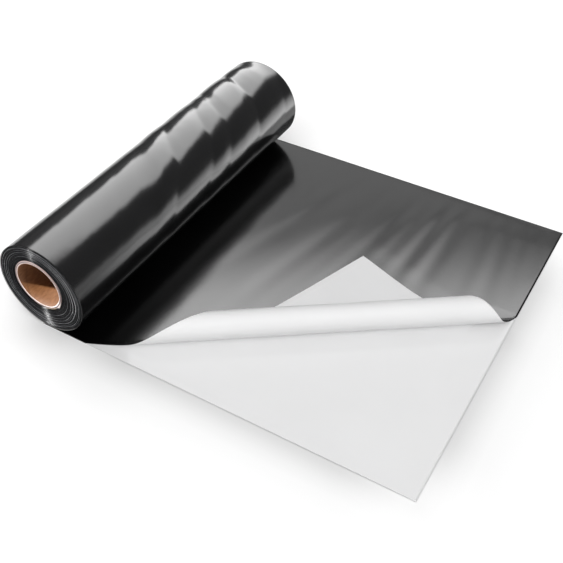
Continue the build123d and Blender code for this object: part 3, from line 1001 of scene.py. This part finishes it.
def area(name, place_at, target, size, radiance, glossy=True, diffuse=True, receivers=None, soft=None, roll=0.0, sides=None):
    """A rectangular light aimed at a point. soft gives the share of its width and height over which each edge fades: left, right, bottom, top.
    sides gives its left and right edges as where each crosses half height, how far it leans over the height, and how wide it fades."""
    d = bpy.data.lights.new(name, "AREA")
    d.shape = "RECTANGLE"
    d.size, d.size_y = size
    d.energy = radiance * math.pi * size[0] * size[1]
    o = bpy.data.objects.new(name, d)
    bpy.context.scene.collection.objects.link(o)
    o.location = place_at
    o.rotation_mode = "QUATERNION"
    turn_by = Matrix.Rotation(math.radians(roll), 4, "Z").to_quaternion()
    o.rotation_quaternion = (Vector(target) - Vector(place_at)).to_track_quat("-Z", "Y") @ turn_by
    o.visible_camera = False
    o.visible_glossy = glossy
    o.visible_diffuse = diffuse
    if soft is not None:
        d.use_nodes = True
        t = d.node_tree
        emission = next(n for n in t.nodes if n.type == "EMISSION")
        g = t.nodes.new("ShaderNodeNewGeometry")
        x = t.nodes.new("ShaderNodeSeparateXYZ")
        t.links.new(g.outputs["Parametric"], x.inputs[0])
        last = None

        def times(a, b):
            m = t.nodes.new("ShaderNodeMath")
            m.operation = "MULTIPLY"
            t.links.new(a, m.inputs[0])
            t.links.new(b, m.inputs[1])
            return m.outputs[0]

        for side, edge in enumerate(sides or ()):
            at, lean, fade = edge
            m = t.nodes.new("ShaderNodeMath")
            m.operation = "MULTIPLY_ADD"
            t.links.new(x.outputs["Y"], m.inputs[0])
            m.inputs[1].default_value = -lean
            m.inputs[2].default_value = lean * 0.5
            add = t.nodes.new("ShaderNodeMath")
            add.operation = "ADD"
            t.links.new(x.outputs["X"], add.inputs[0])
            t.links.new(m.outputs[0], add.inputs[1])
            stops = [(at - fade / 2, 0.0), (at + fade / 2, 1.0)] if side == 0 else [(at - fade / 2, 1.0), (at + fade / 2, 0.0)]
            v = ramp(t, add.outputs[0], stops, "EASE")
            last = v if last is None else times(last, v)
        for axis, (low_edge, high_edge) in (("X", soft[:2]), ("Y", soft[2:])):
            v = ramp(t, x.outputs[axis], [(0.0, 0.0), (max(low_edge, 0.001), 1.0), (1 - max(high_edge, 0.001), 1.0), (1.0, 0.0)], "EASE")
            last = v if last is None else times(last, v)
        t.links.new(last, emission.inputs["Strength"])
    if receivers is not None:
        o.light_linking.receiver_collection = receivers
    return o


def toward(az, el, distance, centre=(0.0, 0.0, 0.0)):
    a, e = math.radians(az), math.radians(el)
    return (
        centre[0] + distance * math.cos(a) * math.cos(e),
        centre[1] + distance * math.sin(a) * math.cos(e),
        centre[2] + distance * math.sin(e),
    )


# big softbox behind the roll, seen in its main highlight, and a low strip beside it for the second one
area("softbox_roll", toward(110, 43, 2.2, (0, 0, 0.12)), (0, 0, 0.12), (3.8, 2.5), 6.2, receivers=roll_only, soft=(0, 0, 0.03, 0.05), sides=((0.226, -0.217, 0.12), (0.846, 0.214, 0.055)))
area("strip_roll", (0.177, 0.07, 0.080), (0.0, 0.07, 0.080), (0.82, 0.118), 3.6, diffuse=False, receivers=roll_only, soft=(0.45, 0.04, 0.03, 0.85))
# softboxes behind the flat web: a bright one above and a dim one below it
area("softbox_web", toward(120, 52, 3.0, (0.3, 0, 0)), (0.3, 0, 0), (3.9, 1.7), 7.5, diffuse=False, receivers=film_only, soft=(0, 0.1, 0.34, 0.1), roll=-5, sides=((0.17, 0.25, 0.08), (1.1, 0.0, 0.1)))
area("softbox_web_low", toward(120, 24, 3.0, (0.3, 0, 0)), (0.3, 0, 0), (3.6, 1.5), 1.25, diffuse=False, receivers=film_only, soft=(0.1, 0.1, 0.1, 0.1))
# soft light on the white sheets from above the camera's side
area("white_fill", toward(-55, 12, 2.8, (0.3, 0, 0)), (0.3, 0, 0), (3.4, 1.1), 2.1, glossy=False, receivers=white_only)
area("white_front", toward(-62, 52, 3.0, (0.3, 0, 0)), (0.3, 0, 0), (2.8, 2.0), 1.8, glossy=False, receivers=peel_only)
area("liner_front", toward(-62, 52, 3.0, (0.3, 0, 0)), (0.3, 0, 0), (2.8, 2.0), 2.6, glossy=False, receivers=liner_only)
area("white_top", (0.4, -0.4, 2.4), (0.3, 0, 0), (3.0, 3.0), 1.0, glossy=False, receivers=peel_only)
# the glossy liner mirrors a softbox behind, and the curl against it
area("liner_gloss", toward(118, 42, 3.0, (0.3, 0, 0)), (0.3, 0, 0), (5.6, 3.6), 1.5, diffuse=False, receivers=liner_only)
# a second one from above that the curl does not shade
white_soft = area("white_soft", (0.2, 0.1, 2.4), (0.3, 0, 0), (3.0, 3.0), 0.86, glossy=False, receivers=peel_only)
white_soft.light_linking.blocker_collection = collection("blocks_soft", [outer_turn, wound_pack])
liner_soft = area("liner_soft", (0.2, 0.1, 2.4), (0.3, 0, 0), (3.0, 3.0), 1.35, glossy=False, receivers=liner_only)
liner_soft.light_linking.blocker_collection = collection("blocks_liner_soft", [outer_turn, wound_pack])
# floor
area("floor_top", (0.1, 0.0, 6.0), (0.1, 0.0, 0), (16.0, 16.0), 1.2, glossy=False, receivers=floor_only)
area("floor_left", toward(163, 34, 3.0), (0, 0, 0), (1.8, 1.4), 2.6, glossy=False, receivers=floor_only)
area("floor_front", toward(-112, 32, 3.0), (0, 0, 0), (2.4, 1.6), 1.25, glossy=False, receivers=floor_only)
# roll and core
area("roll_top", (0.1, 0.0, 2.6), (0.1, 0, 0), (3.0, 3.0), 0.7, glossy=False, receivers=roll_only)
area("core_key", toward(240.5, 59.4, 2.5, (0, -0.305, 0.08)), (0, -0.305, 0.08), (0.14, 0.14), 2050, glossy=False, receivers=core_only)
area("core_glint", toward(228.3, 27.6, 1.8, (0, -0.305, 0.08)), (0, -0.305, 0.08), (0.13, 0.9), 600.0, diffuse=False, receivers=core_only)

scene = bpy.context.scene
scene.view_settings.view_transform = "Standard"
scene.view_settings.look = "None"
scene.view_settings.exposure = 0
scene.view_settings.gamma = 1
